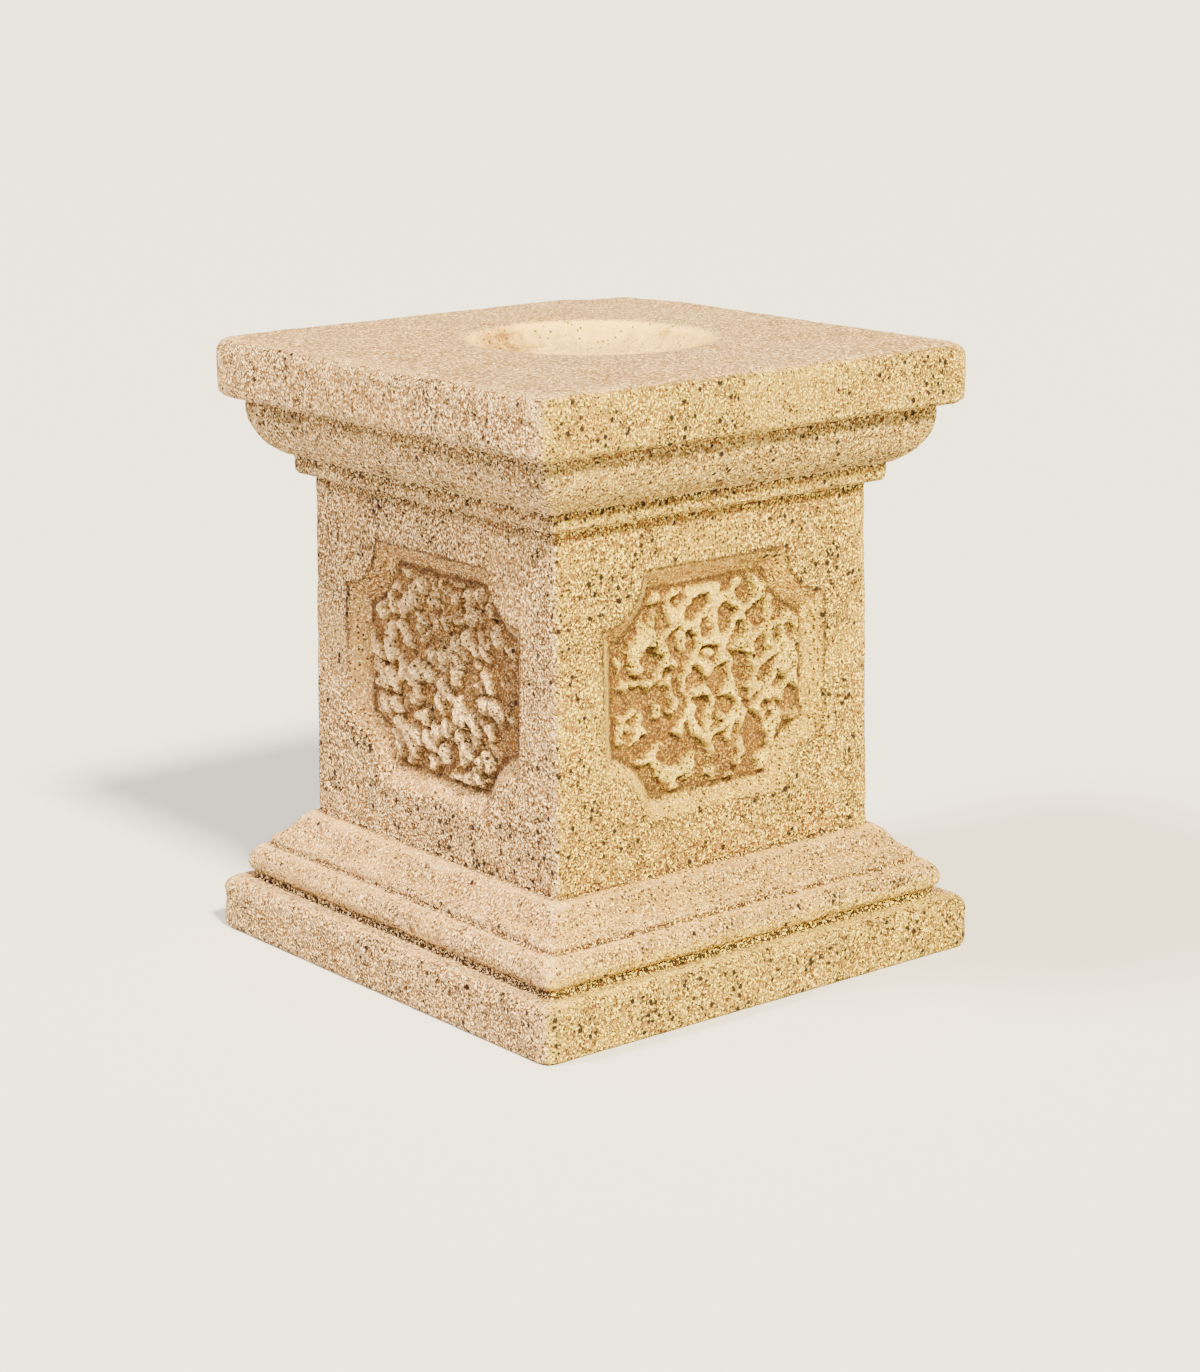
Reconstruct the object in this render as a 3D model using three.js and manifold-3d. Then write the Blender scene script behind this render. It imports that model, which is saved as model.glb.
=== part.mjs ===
// Cast stone pedestal: one block with a plinth, base mouldings, a die with four sunk panels,
// a neck fillet, an ovolo and a cap slab with a shallow round recess in its top.
// Millimetres, +Z up, origin at the centre of the underside.
import * as THREE from 'three';
import { mergeVertices } from 'three/addons/utils/BufferGeometryUtils.js';
import Module from 'manifold-3d';

const wasm = await Module();
wasm.setup();

// Heights of the courses, from the ground up
const PLINTH_HEIGHT = 36.5;
const BASE_HEIGHT = 47;
const DIE_HEIGHT = 228.5;
const NECK_HEIGHT = 12.5;
const OVOLO_HEIGHT = 39;
const CAP_HEIGHT = 41;

// Widths across the flats
const PLINTH_WIDTH = 360;
const CAP_WIDTH = 350;
const DIE_FOOT_WIDTH = 263;
const DIE_HEAD_WIDTH = 257;
const TORUS_WIDTH = 334;
const GROOVE_WIDTH = 309;
const BEAD_WIDTH = 312;
const SHOULDER_WIDTH = 286;
const NECK_WIDTH = 277;
const OVOLO_WIDTH = 323;

// Radii of the upright corners, seen in plan
const PLINTH_CORNER = 8;
const BASE_CORNER = 5;
const DIE_CORNER = 4;
const OVOLO_CORNER = 6;
const CAP_CORNER = 9;

// Radii of the level arrises
const PLINTH_FOOT_ROUND = 4;
const PLINTH_TOP_ROUND = 8;
const CAP_FOOT_ROUND = 6;
const CAP_TOP_ROUND = 8;
const NECK_ROUND = 2;

// How the base mouldings share their height
const GROOVE_SHARE = 0.5;
const BEAD_SHARE = 0.65;
const SHOULDER_SHARE = 0.84;

// How far the curved mouldings swell out from their chords, or fall in
const TORUS_SWELL = 8;
const SLOPE_HOLLOW = -1;
const SHOULDER_SWELL = 1.6;
const OVOLO_SWELL = 5;

// How far the mouldings step back where they meet
const TORUS_FOOT_STEP = 6;
const TORUS_HEAD_STEP = 10;
const BEAD_HEAD_STEP = 5;
const OVOLO_FOOT_STEP = 1.5;
const ARRIS = 1;

// The ovolo ends in an upright band under the cap
const OVOLO_BAND = 8;

// The top is level round the recess and falls a little to its edges
const LEVEL_TOP_WIDTH = 240;
const TOP_FALL = 0.5;

// The recess, which sits a little behind the middle of the cap
const RECESS_CENTRE = new THREE.Vector2(-3, 6);
const RECESS_RIM_RADIUS = 82;
const RECESS_FLOOR_RADIUS = 54;
const RECESS_DEPTH = 18;
const RECESS_RIM_ROUND = 4;
const RECESS_WALL_SWELL = 3.7;
const RECESS_RIM_SWELL = -1;

// The sunk panels: a rectangle with a quarter-round lobe standing into each corner
const PANEL_HALF_WIDTH = 92;
const PANEL_HALF_HEIGHT = 80.5;
const PANEL_LOBE_RADIUS = 33;
const PANEL_DEPTH = 13.5;
const PANEL_BEVEL = 14;
const PANEL_CENTRE_HEIGHT = 198.5;

// The rough field in each panel
const ROUGH_CELL = 6.4;
const ROUGH_BED = 12.8;
const LUMP_LENGTH = 17;
const LUMP_WIDTH = 12;
const LUMP_HEIGHT = 9;
const LUMP_LEAN = THREE.MathUtils.degToRad(52);
const LUMP_SHARE = 0.68;
const LUMP_FOOT = 0.25;
const LUMP_CREST = 0.75;
const EDGE_BAND = 7;

// Multipliers that turn a lattice point into a repeatable chance number
const CHANCE_ACROSS = 127.1;
const CHANCE_UP = 311.7;
const CHANCE_SIDE = 74.7;
const CHANCE_SPREAD = 43758.5453;

const CORNER_STEPS = 3;
const LOBE_STEPS = 5;
const RECESS_SEGMENTS = 36;
const SIDES = 4;
const CLEAR = 4;

const BASE_LEVEL = PLINTH_HEIGHT;
const DIE_LEVEL = BASE_LEVEL + BASE_HEIGHT;
const NECK_LEVEL = DIE_LEVEL + DIE_HEIGHT;
const OVOLO_LEVEL = NECK_LEVEL + NECK_HEIGHT;
const CAP_LEVEL = OVOLO_LEVEL + OVOLO_HEIGHT;
const TOP_LEVEL = CAP_LEVEL + CAP_HEIGHT;
const DIE_TAPER = Math.atan2((DIE_FOOT_WIDTH - DIE_HEAD_WIDTH) / 2, DIE_HEIGHT);

// Rise of a quarter circle over its chord, as a share of the chord
const QUARTER_RISE = (Math.SQRT2 - 1) / 2;

const castStone = new THREE.MeshStandardMaterial({
  name: 'cast stone',
  color: 0xdcc49c,
  roughness: 0.95,
  metalness: 0,
});

// Points on a circular arc between two profile points. A positive rise swells outwards.
function arc(from, to, rise, steps) {
  const chord = Math.hypot(to[0] - from[0], to[1] - from[1]);
  const out = [(to[1] - from[1]) / chord, (from[0] - to[0]) / chord];
  const turn = 4 * Math.atan2(2 * Math.abs(rise), chord);
  const radius = chord / 2 / Math.sin(turn / 2);
  const points = [];
  for (let i = 0; i <= steps; i++) {
    const share = i / steps;
    const angle = (share - 0.5) * turn;
    const along = 0.5 + (radius * Math.sin(angle)) / chord;
    const height = radius * (Math.cos(angle) - Math.cos(turn / 2)) * Math.sign(rise);
    points.push([
      from[0] + (to[0] - from[0]) * along + out[0] * height,
      from[1] + (to[1] - from[1]) * along + out[1] * height,
    ]);
  }
  return points;
}

// A quarter circle that rounds an arris
function roundedArris(from, to, steps) {
  const chord = Math.hypot(to[0] - from[0], to[1] - from[1]);
  return arc(from, to, chord * QUARTER_RISE, steps);
}

// Each course is a list of half widths and heights, with the radius of its upright corners
function course(corner, points) {
  return points.map(([half, height]) => ({ half, height, corner }));
}

function plinthCourse() {
  const half = PLINTH_WIDTH / 2;
  return course(PLINTH_CORNER, [
    ...roundedArris([half - PLINTH_FOOT_ROUND, 0], [half, PLINTH_FOOT_ROUND], 2),
    ...roundedArris([half, BASE_LEVEL - PLINTH_TOP_ROUND], [half - PLINTH_TOP_ROUND, BASE_LEVEL], 4),
  ]);
}

// From below: a torus, a groove, a bead, a hollow slope and a rounded shoulder
function baseCourse() {
  const torus = TORUS_WIDTH / 2;
  const groove = GROOVE_WIDTH / 2;
  const bead = BEAD_WIDTH / 2;
  const shoulder = SHOULDER_WIDTH / 2;
  const die = DIE_FOOT_WIDTH / 2;
  const grooveLevel = BASE_LEVEL + BASE_HEIGHT * GROOVE_SHARE;
  const beadLevel = BASE_LEVEL + BASE_HEIGHT * BEAD_SHARE;
  const shoulderLevel = BASE_LEVEL + BASE_HEIGHT * SHOULDER_SHARE;
  return course(BASE_CORNER, [
    ...arc([torus - TORUS_FOOT_STEP, BASE_LEVEL], [torus - TORUS_HEAD_STEP, grooveLevel], TORUS_SWELL, 7),
    [groove, grooveLevel + ARRIS / 2],
    [bead, grooveLevel + 2 * ARRIS],
    [bead - ARRIS, beadLevel - 2 * ARRIS],
    ...arc([bead - BEAD_HEAD_STEP, beadLevel], [shoulder, shoulderLevel], SLOPE_HOLLOW, 2),
    ...arc([shoulder - ARRIS, shoulderLevel + ARRIS], [die + ARRIS, DIE_LEVEL], SHOULDER_SWELL, 3),
  ]);
}

function dieCourse() {
  return course(DIE_CORNER, [
    [DIE_FOOT_WIDTH / 2, DIE_LEVEL + ARRIS],
    [DIE_HEAD_WIDTH / 2, NECK_LEVEL],
  ]);
}

function neckCourse() {
  const half = NECK_WIDTH / 2;
  return course(DIE_CORNER, [
    [half - NECK_ROUND, NECK_LEVEL + ARRIS],
    [half, NECK_LEVEL + ARRIS + NECK_ROUND],
    [half, OVOLO_LEVEL - ARRIS],
  ]);
}

// A swelling quarter round under a narrow upright band
function ovoloCourse() {
  const half = OVOLO_WIDTH / 2;
  const foot = NECK_WIDTH / 2 + OVOLO_FOOT_STEP;
  return course(OVOLO_CORNER, [
    ...arc([foot, OVOLO_LEVEL], [half, CAP_LEVEL - OVOLO_BAND], OVOLO_SWELL, 6),
    [half, CAP_LEVEL],
  ]);
}

function capCourse() {
  const half = CAP_WIDTH / 2;
  const edgeLevel = TOP_LEVEL - TOP_FALL;
  return course(CAP_CORNER, [
    ...roundedArris([half - CAP_FOOT_ROUND, CAP_LEVEL], [half, CAP_LEVEL + CAP_FOOT_ROUND], 3),
    ...roundedArris([half, edgeLevel - CAP_TOP_ROUND], [half - CAP_TOP_ROUND, edgeLevel], 4),
    [LEVEL_TOP_WIDTH / 2, TOP_LEVEL],
  ]);
}

// The plan of every level is a square with round corners
function planPoint(station, half, corner) {
  const perSide = CORNER_STEPS + 1;
  const side = Math.floor(station / perSide) % SIDES;
  const angle = (side + (station % perSide) / CORNER_STEPS) * (Math.PI / 2);
  const middle = (side + 0.5) * (Math.PI / 2);
  const reach = (half - corner) * Math.SQRT2;
  return [
    reach * Math.cos(middle) + corner * Math.cos(angle),
    reach * Math.sin(middle) + corner * Math.sin(angle),
  ];
}

// A turned profile drawn out to the square plan, so that every moulding is mitred at the corners
function mouldedBlock(profile) {
  const stations = SIDES * (CORNER_STEPS + 1);
  const outline = profile.map(({ half, height }) => new THREE.Vector2(half, height));
  const geometry = new THREE.LatheGeometry(outline, stations);
  const position = geometry.attributes.position;
  for (let i = 0; i < position.count; i++) {
    const { half, height, corner } = profile[i % profile.length];
    const [x, y] = planPoint(Math.floor(i / profile.length), half, corner);
    position.setXYZ(i, x, y, height);
  }
  return geometry;
}

function recessCutter() {
  const floorLevel = TOP_LEVEL - RECESS_DEPTH;
  const floorEdge = [RECESS_FLOOR_RADIUS, floorLevel];
  const wallHead = [RECESS_RIM_RADIUS - RECESS_RIM_ROUND, TOP_LEVEL - RECESS_RIM_ROUND];
  const rim = [RECESS_RIM_RADIUS, TOP_LEVEL];
  const section = [
    [0, floorLevel],
    ...arc(floorEdge, wallHead, RECESS_WALL_SWELL, 4),
    ...arc(wallHead, rim, RECESS_RIM_SWELL, 2).slice(1),
    [RECESS_RIM_RADIUS, TOP_LEVEL + CLEAR],
    [0, TOP_LEVEL + CLEAR],
  ];
  const outline = section.map(([radius, height]) => new THREE.Vector2(radius, height));
  const geometry = new THREE.LatheGeometry(outline, RECESS_SEGMENTS);
  geometry.rotateX(Math.PI / 2);
  geometry.translate(RECESS_CENTRE.x, RECESS_CENTRE.y, 0);
  return geometry;
}

// The panel's outline, drawn in from its edge on the face by the inset
function panelOutline(inset) {
  const radius = PANEL_LOBE_RADIUS + inset;
  const start = Math.asin(inset / radius);
  const sweep = Math.PI / 2 - 2 * start;
  const points = [];
  for (let side = 0; side < SIDES; side++) {
    const turned = (side + 0.5) * (Math.PI / 2);
    const centreX = Math.sign(Math.cos(turned)) * PANEL_HALF_WIDTH;
    const centreY = Math.sign(Math.sin(turned)) * PANEL_HALF_HEIGHT;
    for (let step = 0; step <= LOBE_STEPS; step++) {
      const angle = side * (Math.PI / 2) + (3 * Math.PI) / 2 - start - (sweep * step) / LOBE_STEPS;
      points.push(
        new THREE.Vector2(centreX + radius * Math.cos(angle), centreY + radius * Math.sin(angle)),
      );
    }
  }
  return points;
}

// A closed stack of outlines, each at its own level
function loft(outlines, levels) {
  const count = outlines[0].length;
  const vertices = outlines.flatMap((outline, i) => outline.flatMap((p) => [p.x, p.y, levels[i]]));
  const faces = [];
  for (let ring = 0; ring + 1 < outlines.length; ring++) {
    for (let i = 0; i < count; i++) {
      const a = ring * count + i;
      const b = ring * count + ((i + 1) % count);
      faces.push(a, b, b + count, a, b + count, a + count);
    }
  }
  const last = (outlines.length - 1) * count;
  for (const [a, b, c] of THREE.ShapeUtils.triangulateShape(outlines[0], [])) {
    faces.push(a, c, b);
  }
  for (const [a, b, c] of THREE.ShapeUtils.triangulateShape(outlines.at(-1), [])) {
    faces.push(last + a, last + b, last + c);
  }
  const geometry = new THREE.BufferGeometry();
  geometry.setAttribute('position', new THREE.Float32BufferAttribute(vertices, 3));
  geometry.setIndex(faces);
  return geometry;
}

// The space of one panel: its walls slope in from the face to the bed
function panelSpace() {
  const slope = PANEL_BEVEL / PANEL_DEPTH;
  const levels = [-PANEL_DEPTH, 0, CLEAR];
  return loft(levels.map((level) => panelOutline(-level * slope)), levels);
}

// A repeatable number from 0 to 1 for each point of a lattice
function latticeValue(i, j, seed) {
  const wave = Math.sin(i * CHANCE_ACROSS + j * CHANCE_UP + seed * CHANCE_SIDE) * CHANCE_SPREAD;
  return wave - Math.floor(wave);
}

function smoothNoise(u, v, seed) {
  const i = Math.floor(u);
  const j = Math.floor(v);
  const fu = THREE.MathUtils.smoothstep(u - i, 0, 1);
  const fv = THREE.MathUtils.smoothstep(v - j, 0, 1);
  const low = THREE.MathUtils.lerp(latticeValue(i, j, seed), latticeValue(i + 1, j, seed), fu);
  const high = THREE.MathUtils.lerp(latticeValue(i, j + 1, seed), latticeValue(i + 1, j + 1, seed), fu);
  return THREE.MathUtils.lerp(low, high, fv);
}

// How far a point of the panel lies inside the foot of its walls
function insideBed(x, y) {
  const acrossX = PANEL_HALF_WIDTH - Math.abs(x);
  const acrossY = PANEL_HALF_HEIGHT - Math.abs(y);
  const lobe = Math.hypot(acrossX, acrossY) - PANEL_LOBE_RADIUS;
  return Math.min(acrossX, acrossY, lobe) - PANEL_BEVEL;
}

// Broken lumps that lean across the panel, one way and the other on neighbouring sides,
// and die away at its walls
function lumpHeight(x, y, seed) {
  const lean = seed % 2 === 0 ? -LUMP_LEAN : LUMP_LEAN;
  const along = x * Math.cos(lean) + y * Math.sin(lean);
  const across = y * Math.cos(lean) - x * Math.sin(lean);
  const large = smoothNoise(along / LUMP_LENGTH, across / LUMP_WIDTH, seed);
  const small = smoothNoise((2 * along) / LUMP_LENGTH, (2 * across) / LUMP_WIDTH, seed + 1);
  const mixed = LUMP_SHARE * large + (1 - LUMP_SHARE) * small;
  const lump = THREE.MathUtils.smoothstep(mixed, LUMP_FOOT, LUMP_CREST);
  return LUMP_HEIGHT * lump * THREE.MathUtils.clamp(insideBed(x, y) / EDGE_BAND, 0, 1);
}

// The rough stone that fills the back of a panel
function roughField(seed) {
  const width = 2 * (PANEL_HALF_WIDTH - PANEL_BEVEL + CLEAR);
  const height = 2 * (PANEL_HALF_HEIGHT - PANEL_BEVEL + CLEAR);
  const across = Math.round(width / ROUGH_CELL);
  const up = Math.round(height / ROUGH_CELL);
  const geometry = new THREE.BoxGeometry(width, height, 2 * CLEAR, across, up, 1);
  const position = geometry.attributes.position;
  for (let i = 0; i < position.count; i++) {
    const x = position.getX(i);
    const y = position.getY(i);
    const onFront = position.getZ(i) > 0;
    position.setZ(i, onFront ? lumpHeight(x, y, seed) - ROUGH_BED : -PANEL_DEPTH - CLEAR);
  }
  return geometry;
}

function toSolid(geometry) {
  const plain = geometry.clone();
  plain.deleteAttribute('normal');
  plain.deleteAttribute('uv');
  const merged = mergeVertices(plain, 1e-3);
  const index = merged.index.array;
  const faces = [];
  for (let i = 0; i < index.length; i += 3) {
    const [a, b, c] = [index[i], index[i + 1], index[i + 2]];
    if (a !== b && b !== c && c !== a) faces.push(a, b, c);
  }
  return new wasm.Manifold(
    new wasm.Mesh({
      numProp: 3,
      vertProperties: new Float32Array(merged.attributes.position.array),
      triVerts: new Uint32Array(faces),
    }),
  );
}

function toGeometry(solid) {
  const mesh = solid.getMesh();
  const geometry = new THREE.BufferGeometry();
  geometry.setAttribute('position', new THREE.Float32BufferAttribute(mesh.vertProperties, 3));
  geometry.setIndex(Array.from(mesh.triVerts));
  return geometry;
}

// One panel set into a side of the die, leaning back with the die's taper
function panelCutter(side) {
  const rise = PANEL_CENTRE_HEIGHT - DIE_LEVEL;
  const faceAt = DIE_FOOT_WIDTH / 2 - rise * Math.tan(DIE_TAPER);
  const placed = new THREE.Matrix4().makeRotationZ(side * (Math.PI / 2));
  placed.multiply(new THREE.Matrix4().makeTranslation(0, -faceAt, PANEL_CENTRE_HEIGHT));
  placed.multiply(new THREE.Matrix4().makeRotationX(Math.PI / 2 - DIE_TAPER));
  const space = toSolid(panelSpace().applyMatrix4(placed));
  const rough = toSolid(roughField(side).applyMatrix4(placed));
  return space.subtract(rough);
}

function pedestalGeometry() {
  const profile = [
    { half: 0, height: 0, corner: 0 },
    ...plinthCourse(),
    ...baseCourse(),
    ...dieCourse(),
    ...neckCourse(),
    ...ovoloCourse(),
    ...capCourse(),
    { half: 0, height: TOP_LEVEL, corner: 0 },
  ];
  let block = toSolid(mouldedBlock(profile));
  for (let side = 0; side < SIDES; side++) {
    block = block.subtract(panelCutter(side));
  }
  return toGeometry(block.subtract(toSolid(recessCutter())));
}

const pedestal = new THREE.Mesh(pedestalGeometry(), castStone);
pedestal.name = 'pedestal';

const castStonePedestal = new THREE.Group();
castStonePedestal.name = 'cast_stone_pedestal';
castStonePedestal.add(pedestal);

export default castStonePedestal;
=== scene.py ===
import math
from functools import partial

import bmesh
import bpy
import numpy as np
from mathutils import Matrix, Vector


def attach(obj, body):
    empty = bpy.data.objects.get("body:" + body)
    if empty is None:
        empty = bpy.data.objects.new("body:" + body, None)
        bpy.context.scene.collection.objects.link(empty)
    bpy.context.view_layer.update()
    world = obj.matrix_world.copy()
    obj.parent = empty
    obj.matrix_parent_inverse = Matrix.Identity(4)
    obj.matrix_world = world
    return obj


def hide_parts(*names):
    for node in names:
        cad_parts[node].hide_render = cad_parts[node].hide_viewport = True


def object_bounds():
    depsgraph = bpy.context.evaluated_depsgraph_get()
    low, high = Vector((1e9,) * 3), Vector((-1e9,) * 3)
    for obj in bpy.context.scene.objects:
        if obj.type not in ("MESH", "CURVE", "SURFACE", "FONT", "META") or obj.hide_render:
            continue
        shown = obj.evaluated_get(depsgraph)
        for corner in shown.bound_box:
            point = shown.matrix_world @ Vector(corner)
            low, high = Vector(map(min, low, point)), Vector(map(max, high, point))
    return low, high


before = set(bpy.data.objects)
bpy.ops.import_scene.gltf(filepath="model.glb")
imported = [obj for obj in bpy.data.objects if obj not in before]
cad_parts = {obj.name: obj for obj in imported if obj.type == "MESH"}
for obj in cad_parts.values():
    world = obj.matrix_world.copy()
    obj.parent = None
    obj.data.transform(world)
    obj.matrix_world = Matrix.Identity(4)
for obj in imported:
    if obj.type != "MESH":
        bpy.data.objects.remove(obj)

cad_low, cad_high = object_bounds()

MM = 0.001

# Levels and half widths of the block, in millimetres
PLINTH_TOP = 36.5
DIE_FOOT = 83.5
DIE_HEAD = 312.0
OVOLO_FOOT = 324.5
CAP_FOOT = 363.5
BLOCK_TOP = 404.5
DIE_FOOT_HALF = 131.5
DIE_HEAD_HALF = 128.5
DIE_TAPER = math.atan2(DIE_FOOT_HALF - DIE_HEAD_HALF, DIE_HEAD - DIE_FOOT)

# The sunk panels, one in each side of the die
SIDES = 4
SEEN_SIDES = (0, 1)
PANEL_HALF_WIDTH = 92.0
PANEL_HALF_HEIGHT = 80.5
PANEL_LOBE_RADIUS = 33.0
PANEL_BEVEL = 14.0
PANEL_CENTRE = 198.5
PANEL_FACE = DIE_FOOT_HALF - (PANEL_CENTRE - DIE_FOOT) * math.tan(DIE_TAPER)

# A panel's points lie between its skin and its reach, and those beside it a little further either way
PANEL_SKIN = 0.8
PANEL_REACH = 20.0
PANEL_MIDDLE_DEPTH = 6.0
PANEL_DEPTH_EITHER_WAY = 12.0

# How wide the dark lines of painted shade at the foot and the head of a panel's walls are, and how far a
# knob's painted shade falls
FOOT_LINE = 2.2
HEAD_LINE = 1.4
SHADE_ACROSS = 1.2
SHADE_UP = 2.2

# The coarse lumps of a panel's bed, with the values that the solid's lumps have
ROUGH_BED = 12.8
LUMP_LENGTH = 17.0
LUMP_WIDTH = 12.0
LUMP_LEAN = math.radians(52)
LUMP_SHARE = 0.68
LUMP_FOOT = 0.25
LUMP_CREST = 0.75
CHANCE_ACROSS = 127.1
CHANCE_UP = 311.7
CHANCE_SIDE = 74.7
CHANCE_SPREAD = 43758.5453

# The knobs and ridges that stand on the lumps: sizes and heights in millimetres
KNOB_CELL = (20.0, 8.5)
RIDGE_CELL = (22.0, 15.0)
KNOB_HEIGHT = 4.2
KNOB_CHANCE_HEIGHT = 3.0
KNOB_RAGGED = 1.6
RIDGE_HEIGHT = 5.0
RIDGE_RAGGED = 1.4
RAGGED_SIZE = 4.5
ROUND_KNOB_SPACING = 11.0
ROUND_KNOB_RADIUS = 4.2
ROUND_KNOB_SHARE = 0.42
CRUMB_SIZE = 2.8
CRUMB_HEIGHT = 1.0
FIELD_SINK = 0.4
FIELD_HEIGHT = 10.0
EDGE_BAND = 4.0
SIDE_APART = 50.0

# How far the cells are bent out of true, by broad waves and by close ones
BEND_ALONG = (3.0, 1.3)
BEND_OVER = (2.2, 1.3)
BROAD_BEND = 9.0
CLOSE_BEND = 4.0

# The recess in the top
RECESS_MIDDLE = (-3.0, 6.0)
RECESS_RIM = 82.0
RECESS_DEEPEST = 22.0

# The finished mesh
GRAIN_STEP = 1.5
TRIANGLES = 196000

# Wear of the cast skin: sizes and depths in millimetres. Pits are given by spacing, radius, share and seed
WAVE_SIZE = 28.0
WAVE_DEPTH = 0.45
NUB_SIZE = 6.0
NUB_DEPTH = 0.9
SMALL_PITS = (5.6, 1.75, 0.8, 51)
SMALL_PIT_DEPTH = 1.1
LARGE_PITS = (13.0, 2.9, 0.4, 61)
LARGE_PIT_DEPTH = 1.8
PIT_STRETCH = 0.8
BREAK_SIZE = 12.0
CHIP_GRAIN = 3.6
ARRIS_MOST = 1.2
ARRIS_WORN = 0.1
ARRIS_BROKEN = 1.1
SEEN_PANEL_WEAR = 0.45
HIDDEN_WEAR = 0.5

# How much smoother than the rest each place is, and how the roughness comes and goes over the sides
TOP_SMOOTH = 0.68
RECESS_SMOOTH = 0.85
BASE_SMOOTH = 0.5
WALL_SMOOTH = 0.5
BED_SMOOTH = 0.35
ROUGH_PATCH = 42.0
ROUGH_LEAST = 0.62
ROUGH_IN_PATCH = 0.45
ROUGH_LOW_DOWN = 0.3
FRONT_CORNER = 124.0

# Damage that the photograph shows: middle, radius and depth in millimetres, and how ragged it is
CHIPS = [
    ((-77, -175, 371), 6.5, 3.6, 0.3),
    ((-31, -175, 391), 9.0, 2.0, 1.0),
    ((13, -138.5, 321), 3.4, 3.4, 0.0),
    ((53, -138.5, 321), 3.0, 2.6, 0.0),
    ((129.8, -95.9, 213.5), 2.6, 3.6, 0.0),
    ((128.9, -75.1, 278.3), 1.9, 2.6, 0.0),
    ((128.7, -15.4, 293.3), 5.5, 2.6, 0.5),
    ((128.7, -15.4, 287.0), 3.4, 2.0, 0.5),
    ((58.9, -128.9, 283.3), 3.4, 3.0, 0.3),
    ((-52.8, -131.2, 111.4), 4.6, 3.4, 0.4),
    ((-39.3, -131.2, 109.8), 5.0, 3.8, 0.4),
    ((-26, -131.2, 105.6), 5.0, 3.4, 0.4),
    ((-12, -131.2, 103.6), 4.0, 2.6, 0.4),
    ((-114.1, -131.2, 104.5), 9.0, 2.4, 1.0),
    ((-96.7, -131.3, 97.9), 9.0, 2.4, 1.0),
    ((131.3, 69.3, 98.4), 5.0, 3.2, 0.4),
    ((131.3, 80, 99.9), 5.6, 3.8, 0.4),
    ((131.3, 91, 100.5), 5.0, 3.4, 0.4),
    ((131.3, 102, 99.3), 4.6, 2.6, 0.4),
    ((178.8, -138.8, 32.4), 5.5, 2.4, 0.6),
    ((7.1, -141.7, 77.4), 4.0, 2.4, 0.4),
    ((166.5, 50.7, 44.3), 4.0, 2.2, 0.4),
    ((175, 20.1, 377), 4.5, 1.8, 0.8),
    ((-64.4, -45.5, 404), 6.0, 1.6, 0.8),
]

# Parts of the arrises that are worn round: middle, radius and depth
WORN = [
    ((175, -175, 384), 20.0, 3.0),
    ((-172, 172, 404.5), 70.0, 4.0),
    ((128, -131, 200), 10.0, 1.5),
    ((180, -180, 20), 14.0, 2.2),
    ((-180, -180, 20), 12.0, 2.0),
]

# The lobe at the lower right of the right-hand panel has weathered to soft lumps
SOFT_LOBE = ((131.0, 80.0, 146.0), 34.0, 4.6)

# Sharp lines between the mouldings: level, half height, depth and how strongly each is stained
CREVICES = [
    (37.6, 2.2, 3.2, 1.0),
    (60.4, 1.7, 2.0, 0.55),
    (84.2, 1.6, 0.8, 0.25),
    (312.4, 1.8, 1.2, 0.8),
    (324.6, 1.8, 2.0, 0.6),
    (363.2, 1.8, 1.6, 0.8),
]

# Strength of the ochre stain where it has gathered along the mouldings and in broad hollows
STAIN_UNDER_NECK = 0.85
STAIN_UNDER_CAP = 0.7
STAIN_OVER_NECK = 0.6
STAIN_DIE_FOOT = 0.4
STAIN_BESIDE_CORNER = 0.85
STAIN_IN_HOLLOWS = 0.55
# Strength of the painted shade, laid in the stain's ochre, on the panels' walls that face down
SOFFIT_SHADE = 0.8

# A stained or a rubbed place fades out over a little more than its radius
PLACE_SPREAD = 1.3

# Ochre stain beyond what lies in every hollow: middle, radius and strength
STAINS = [
    ((-77, -175, 371), 6.0, 1.0),
    ((175, -140, 385), 20.0, 0.8),
    ((175, -148, 372), 10.0, 0.4),
    ((128.7, -15.4, 291), 6.5, 1.1),
    ((131.3, 84, 99), 17.0, 0.9),
    ((131.3, 66, 97), 9.0, 0.8),
    ((-30, -131.2, 107), 18.0, 0.7),
    ((175, 20.1, 377), 5.0, 0.9),
    ((178.8, -138.8, 32.4), 6.0, 0.8),
    ((13, -138.5, 320), 4.5, 1.2),
    ((53, -138.5, 320), 4.0, 0.9),
    ((-73.2, -14.4, 395), 24.0, 1.0),
    ((-18.6, 81.9, 400), 12.0, 0.4),
    ((130, -100, 110), 24.0, 0.3),
    ((131, 10, 100), 40.0, 0.45),
]

# Places rubbed nearly white: middle, radius and strength
RUBBED = [
    ((175, -175, 384), 16.0, 1.0),
    ((170, -165, 403), 9.0, 0.5),
    ((180, -180, 22), 18.0, 0.9),
    ((130.4, 96.6, 167), 5.0, 1.0),
    ((130.5, 98.4, 159), 3.0, 0.8),
    ((161, -161, 350), 6.0, 0.7),
    ((138, -138, 318), 5.0, 0.8),
    ((167, -167, 50), 7.0, 0.6),
]

# How far the painted yellow of the lit side gives way to the painted pink of the shaded side on the
# mouldings, which lie more in shade
BASE_PINK = 0.6
OVOLO_PINK = 0.35

# Multipliers that turn whole numbers into a repeatable chance number
WORD = 4294967296
CHANCE_SEED = 2654435761
CHANCE_FIRST = 2246822519
CHANCE_SECOND = 3266489917


def smoothstep(value, low, high):
    """Rises smoothly from 0 at one value to 1 at the other, which may be the lower of the two."""
    t = np.clip((value - low) / (high - low), 0, 1)
    return t * t * (3 - 2 * t)


# Repeatable chance values

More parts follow.
